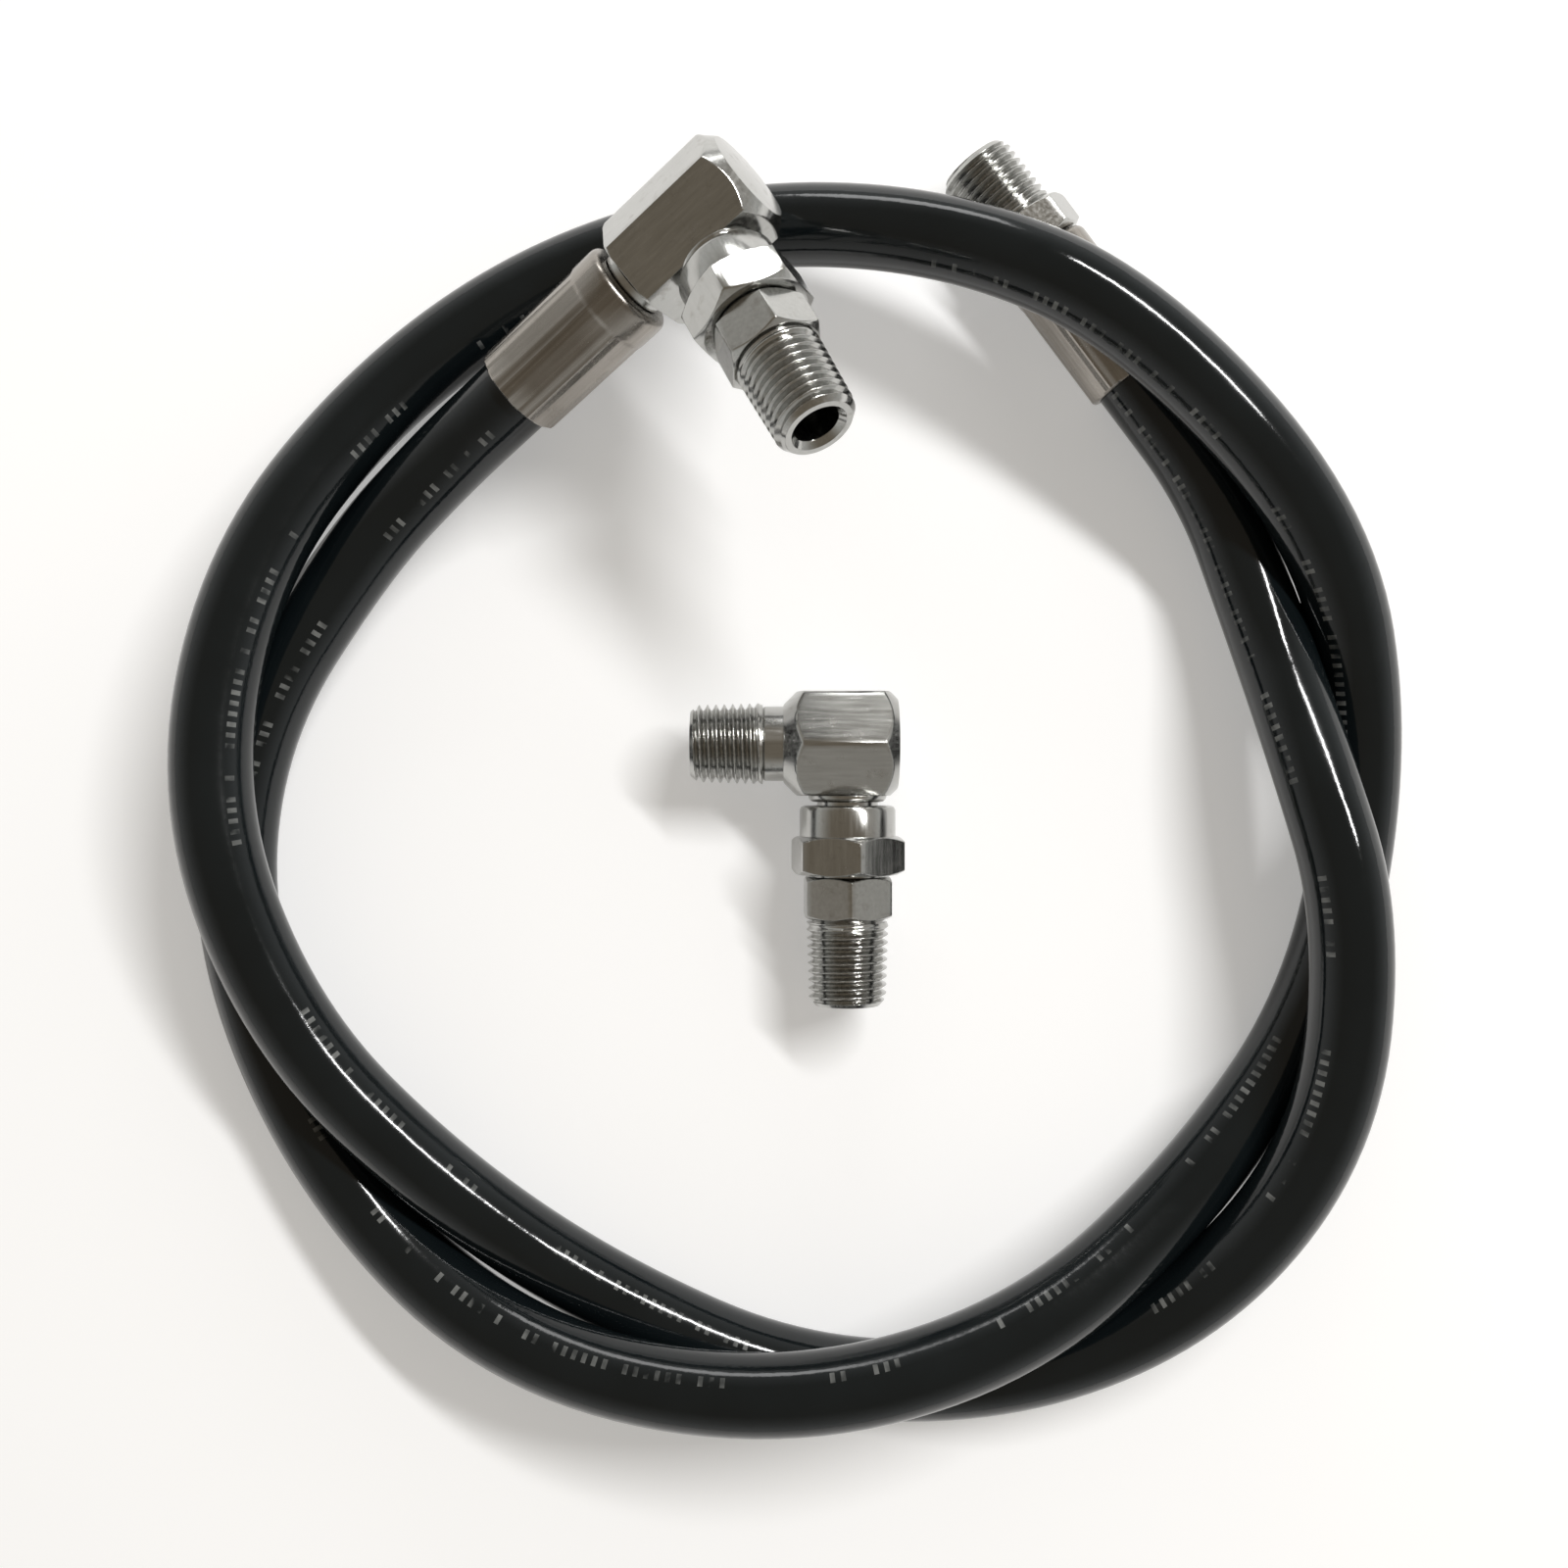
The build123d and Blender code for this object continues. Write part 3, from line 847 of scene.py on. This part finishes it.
def lay_hose():
    """Lays the hose's three layers along its route."""
    route = [Vector(point) * MM for point in ROUTE_MM]
    elbow_axis = (route[0] - route[1]).normalized()
    straight_axis = (route[-1] - route[-2]).normalized()
    elbow_tip = route[0] + elbow_axis * HOSE_INSERT
    straight_tip = route[-1] + straight_axis * HOSE_INSERT
    points = spline_points([elbow_tip, *route, straight_tip])
    frames = carried_frames(points)
    cover = tube("hose_skin", frames, HOSE_R, BRAID_R + LAYER_GAP, HOSE_AROUND)
    braid = tube("hose_braid", frames, BRAID_R, TUBE_R + LAYER_GAP, LINING_AROUND)
    liner = tube("hose_liner", frames, TUBE_R, BORE_R, LINING_AROUND)
    for piece, node, slot, material in (
        (cover, "hose_cover", "cover_rubber", cover_rubber()),
        (braid, "wire_braid", "braid_wire", braid_metal()),
        (liner, "inner_tube", "tube_rubber", inner_rubber()),
    ):
        give(piece, material)
        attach(piece, "hose")
        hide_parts(node)
    return cover, points, elbow_axis, straight_axis


cover, hose_points, elbow_axis, straight_axis = lay_hose()
outlet_axis = Vector(MOUNTS["elbow_thread"]["axis"])
adapter_outlet = Vector(MOUNTS["adapter_swivel_thread"]["axis"])
adapter_side = -Vector(MOUNTS["adapter_fixed_thread"]["axis"])


def flat_steel(name, along, gloss, relief=0.35):
    """Plated steel with marks drawn out along the piece."""
    return plated_metal(name, along, PALE, MID, gloss, streak=0.9, relief=relief)


def thread_steel(name, along, gloss):
    """Plated steel without drawn-out marks, which would hide a thread."""
    return plated_metal(name, along, PALE, MID, gloss, streak=0, relief=0.2)


def crimp_steel(name, along):
    """The ferrules' darker, warmer steel."""
    return plated_metal(name, along, WARM, DARK, (0.19, 0.28), streak=0.975, relief=0.5)


bar_steel = flat_steel("bar_steel", elbow_axis, (0.14, 0.22))
outlet_steel = flat_steel("outlet_steel", outlet_axis, (0.13, 0.21))
adapter_steel = flat_steel("adapter_steel", adapter_side, (0.17, 0.25), relief=0.3)
adapter_outlet_steel = flat_steel("adapter_outlet_steel", adapter_outlet, (0.14, 0.22))
straight_steel = thread_steel("straight_steel", straight_axis, (0.16, 0.24))
elbow_thread_steel = thread_steel("elbow_thread_steel", outlet_axis, (0.12, 0.20))
adapter_thread_steel = thread_steel("adapter_thread_steel", adapter_outlet, (0.13, 0.22))
elbow_crimp = crimp_steel("elbow_crimp", elbow_axis)
straight_crimp = crimp_steel("straight_crimp", straight_axis)

elbow_mouth = Vector(ROUTE_MM[0]) * MM
straight_mouth = Vector(ROUTE_MM[-1]) * MM
ELBOW_OUTLET = ("elbow_thread", elbow_axis)
ADAPTER_OUTLET = ("adapter_swivel_thread", adapter_side)

straight_ferrule = ferrule("straight_ferrule_crimped", straight_mouth, straight_axis)
straight = straight_fitting("straight_fitting_threaded")
elbow_nipple = nipple("elbow_nipple_threaded", *ELBOW_OUTLET, ELBOW_NIPPLE_TURN)
elbow_nut = swivel_nut("elbow_nut_turned", *ELBOW_OUTLET, ELBOW_NUT_TURN)
elbow_bead = braze_ring("elbow_tail_bead", *ELBOW_OUTLET)
elbow_bar = elbow_body("elbow_body_bar", elbow_axis)
elbow_ferrule = ferrule("elbow_ferrule_crimped", elbow_mouth, elbow_axis)
adapter_bar = adapter_body("adapter_body_threaded")
adapter_bead = braze_ring("adapter_tail_bead", *ADAPTER_OUTLET)
adapter_nut = swivel_nut("adapter_nut_turned", *ADAPTER_OUTLET, ADAPTER_NUT_TURN)
adapter_nipple = nipple("adapter_nipple_threaded", *ADAPTER_OUTLET, ADAPTER_NIPPLE_TURN)

# Each with its body, the CAD node it replaces and its material
METAL_PIECES = (
    (elbow_nipple, "elbow_swivel", "elbow_nipple", elbow_thread_steel),
    (elbow_nut, "elbow_swivel", "elbow_nut", outlet_steel),
    (elbow_bead, "hose", "elbow_tail_braze", outlet_steel),
    (elbow_bar, "hose", "elbow_body", bar_steel),
    (elbow_ferrule, "hose", "elbow_ferrule", elbow_crimp),
    (straight_ferrule, "hose", "straight_ferrule", straight_crimp),
    (straight, "hose", "straight_fitting", straight_steel),
    (adapter_bar, "adapter", "adapter_body", adapter_steel),
    (adapter_bead, "adapter", "adapter_tail_braze", adapter_outlet_steel),
    (adapter_nut, "adapter_swivel", "adapter_nut", adapter_outlet_steel),
    (adapter_nipple, "adapter_swivel", "adapter_nipple", adapter_thread_steel),
)
for piece, body, node, material in METAL_PIECES:
    give(piece, material)
    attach(piece, body)
    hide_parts(node)

NODE_MATERIALS = {
    "elbow_stem": bar_steel,
    "elbow_stem_braze": bar_steel,
    "elbow_tail": outlet_steel,
    "elbow_nut_wire": outlet_steel,
    "adapter_tail": adapter_outlet_steel,
    "adapter_nut_wire": adapter_outlet_steel,
}
for node_name, material in NODE_MATERIALS.items():
    give(frame["nodes"][node_name], material)


# --- floor, light and camera -------------------------------------------------------------------------


def floor():
    side = FLOOR_SIDE / 2
    corners = [(-side, -side, 0), (side, -side, 0), (side, side, 0), (-side, side, 0)]
    plane = new_piece("floor", corners, [[0, 1, 2, 3]])
    plane.location.z = -FLOOR_GAP
    give(plane, floor_material())


def area_light(name, place, target, size, power):
    data = bpy.data.lights.new(name, "AREA")
    data.shape = "RECTANGLE"
    data.size, data.size_y = size
    data.energy = power
    light = bpy.data.objects.new(name, data)
    light.location = place
    light.rotation_euler = (Vector(target) - Vector(place)).to_track_quat("-Z", "Y").to_euler()
    bpy.context.scene.collection.objects.link(light)


def world():
    """A room with pale walls and a dark, brownish ceiling."""
    bpy.context.scene.world = bpy.data.worlds.new("studio")
    bpy.context.scene.world.use_nodes = True
    tree = bpy.context.scene.world.node_tree
    direction = tree.nodes.new("ShaderNodeTexCoord")
    split = tree.nodes.new("ShaderNodeSeparateXYZ")
    ramp = tree.nodes.new("ShaderNodeValToRGB")
    tree.links.new(direction.outputs["Generated"], split.inputs[0])
    tree.links.new(split.outputs["Z"], ramp.inputs[0])
    tree.links.new(ramp.outputs[0], tree.nodes["Background"].inputs["Color"])
    wall, ceiling = ramp.color_ramp.elements
    wall.position, wall.color = 0.15, (0.62, 0.62, 0.60, 1)
    ceiling.position, ceiling.color = 0.75, (0.215, 0.185, 0.145, 1)


def camera():
    data = bpy.data.cameras.new("camera")
    data.sensor_width = SENSOR
    data.lens = SENSOR * CAMERA_AT[2] / VIEW_WIDTH
    data.clip_start = 0.01
    holder = bpy.data.objects.new("camera", data)
    holder.location = CAMERA_AT
    bpy.context.scene.collection.objects.link(holder)
    bpy.context.scene.camera = holder


floor()
world()
camera()
area_light("key", place=(0.62, 0.62, 1.05), target=(0, 0, 0), size=(0.85, 0.10), power=15)
area_light("back", place=(-0.02, 0.90, 0.29), target=(0, 0.04, 0.04), size=(0.40, 0.16), power=1.0)
bpy.context.scene.view_settings.view_transform = "Standard"
